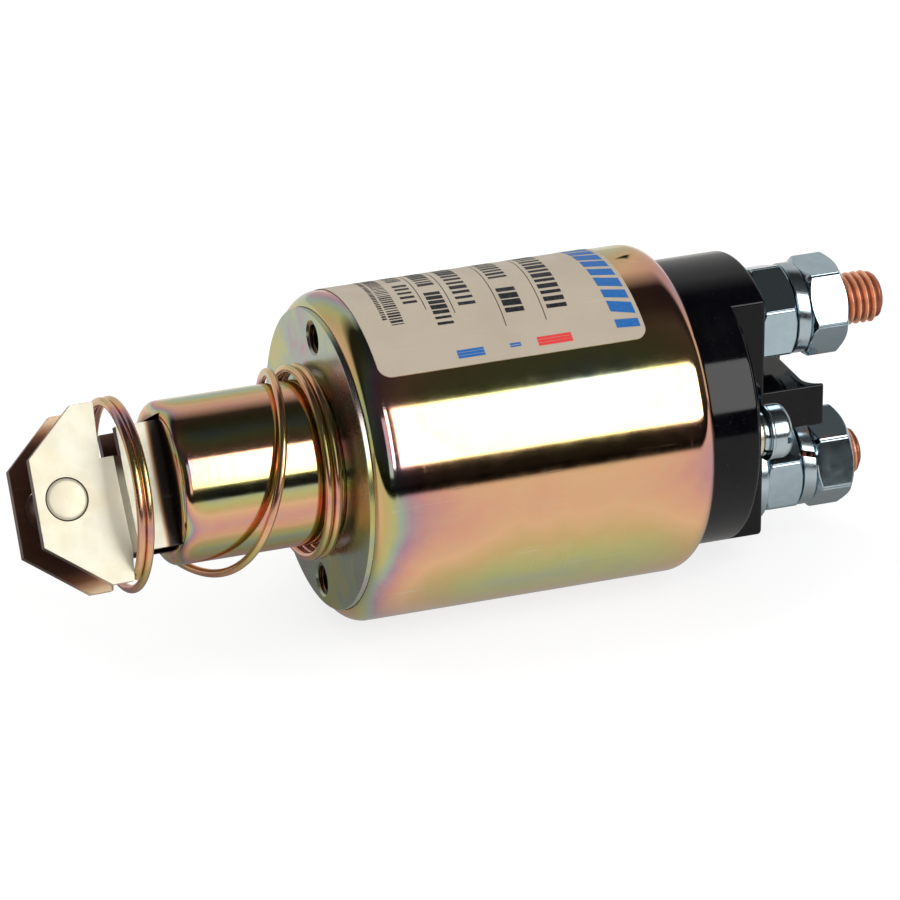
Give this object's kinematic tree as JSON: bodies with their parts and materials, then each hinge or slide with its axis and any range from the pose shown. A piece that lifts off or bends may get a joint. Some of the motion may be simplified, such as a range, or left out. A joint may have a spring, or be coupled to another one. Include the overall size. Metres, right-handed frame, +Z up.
{
  "type": "starter solenoid",
  "caption": "Starter solenoid: a cylindrical coil housing with a sprung plunger and fork clevis at one end and a moulded terminal cap with threaded studs and nuts at the other.",
  "frame": {"origin": "centre of the front face that bolts to the starter's drive housing, on the plunger's axis", "axes": "+X along the axis towards the terminals, +Z up along the line of the two main studs, -Y to the trigger terminal"},
  "size_m": [0.1712, 0.0624, 0.0626],
  "materials": {
    "shell_plate": "polished yellow zinc plating with an iridescent sheen",
    "pole_plate": "yellow zinc plating, satin, greenish sheen",
    "plunger_plate": "polished yellow zinc plating",
    "clevis_plate": "satin yellow zinc plating",
    "spring_plate": "yellow zinc plated wire",
    "bare_steel": "satin",
    "sleeve_brass": "satin",
    "bobbin_plastic": "moulded",
    "winding_copper": "enamelled copper wire",
    "wrap_paper": "matt",
    "gasket_rubber": "matt",
    "cap_plastic": "black phenolic moulding, glossy",
    "stud_copper": "copper, satin",
    "nut_zinc": "bright blue-white zinc plating",
    "washer_zinc": "bright zinc plating",
    "label_paper": "silver-grey printed sticker"
  },
  "bodies": {
    "solenoid_body": {"housing_shell": "shell_plate", "front_pole_plate": "pole_plate", "fixed_core": "bare_steel", "rear_pole_plate": "bare_steel", "plunger_guide_sleeve": "sleeve_brass", "trigger_terminal_insert": "sleeve_brass", "coil_bobbin": "bobbin_plastic", "pull_in_winding": "winding_copper", "hold_in_winding": "winding_copper", "pull_in_lead": "winding_copper", "trigger_lead": "winding_copper", "winding_wrap": "wrap_paper", "cap_gasket": "gasket_rubber", "end_cap": "cap_plastic", "battery_stud": "stud_copper", "motor_stud": "stud_copper", "battery_base_nut": "nut_zinc", "battery_outer_nut": "nut_zinc", "motor_base_nut": "nut_zinc", "motor_outer_nut": "nut_zinc", "battery_lock_washer": "washer_zinc", "motor_flat_washer": "washer_zinc", "motor_lock_washer": "washer_zinc", "trigger_lock_washer": "washer_zinc", "trigger_flat_washer": "washer_zinc", "trigger_terminal_screw": "washer_zinc", "label": "label_paper"},
    "spring_follower": {"return_spring": "spring_plate"},
    "plunger_assembly": {"plunger": "plunger_plate", "clevis": "clevis_plate", "clevis_pin": "clevis_plate", "clevis_rivet": "clevis_plate"},
    "contact_carrier": {"contact_push_rod": "bare_steel", "contact_spring": "bare_steel", "front_contact_insulator": "bobbin_plastic", "contact_bridge": "stud_copper", "rear_contact_insulator": "bobbin_plastic", "rod_clip": "bare_steel", "contact_return_spring": "bare_steel"}
  },
  "joints": [
    {"name": "plunger_slide", "type": "slide", "parent": "solenoid_body", "child": "spring_follower", "axis": [1, 0, 0], "range_m": [0, 0.012], "stiffness_N_per_m": 1200, "springref_m": -0.02, "deforming": ["return_spring"]},
    {"name": "plunger_turn", "type": "hinge", "parent": "spring_follower", "child": "plunger_assembly", "pos_m": [0, 0, 0], "axis": [1, 0, 0], "continuous": true},
    {"name": "contact_slide", "type": "slide", "parent": "solenoid_body", "child": "contact_carrier", "axis": [1, 0, 0], "range_m": [0, 0.003], "deforming": ["contact_return_spring"]}
  ],
  "couplings": [
    {"joint": "contact_slide", "follows": "plunger_slide", "ratio": 0.25}
  ]
}
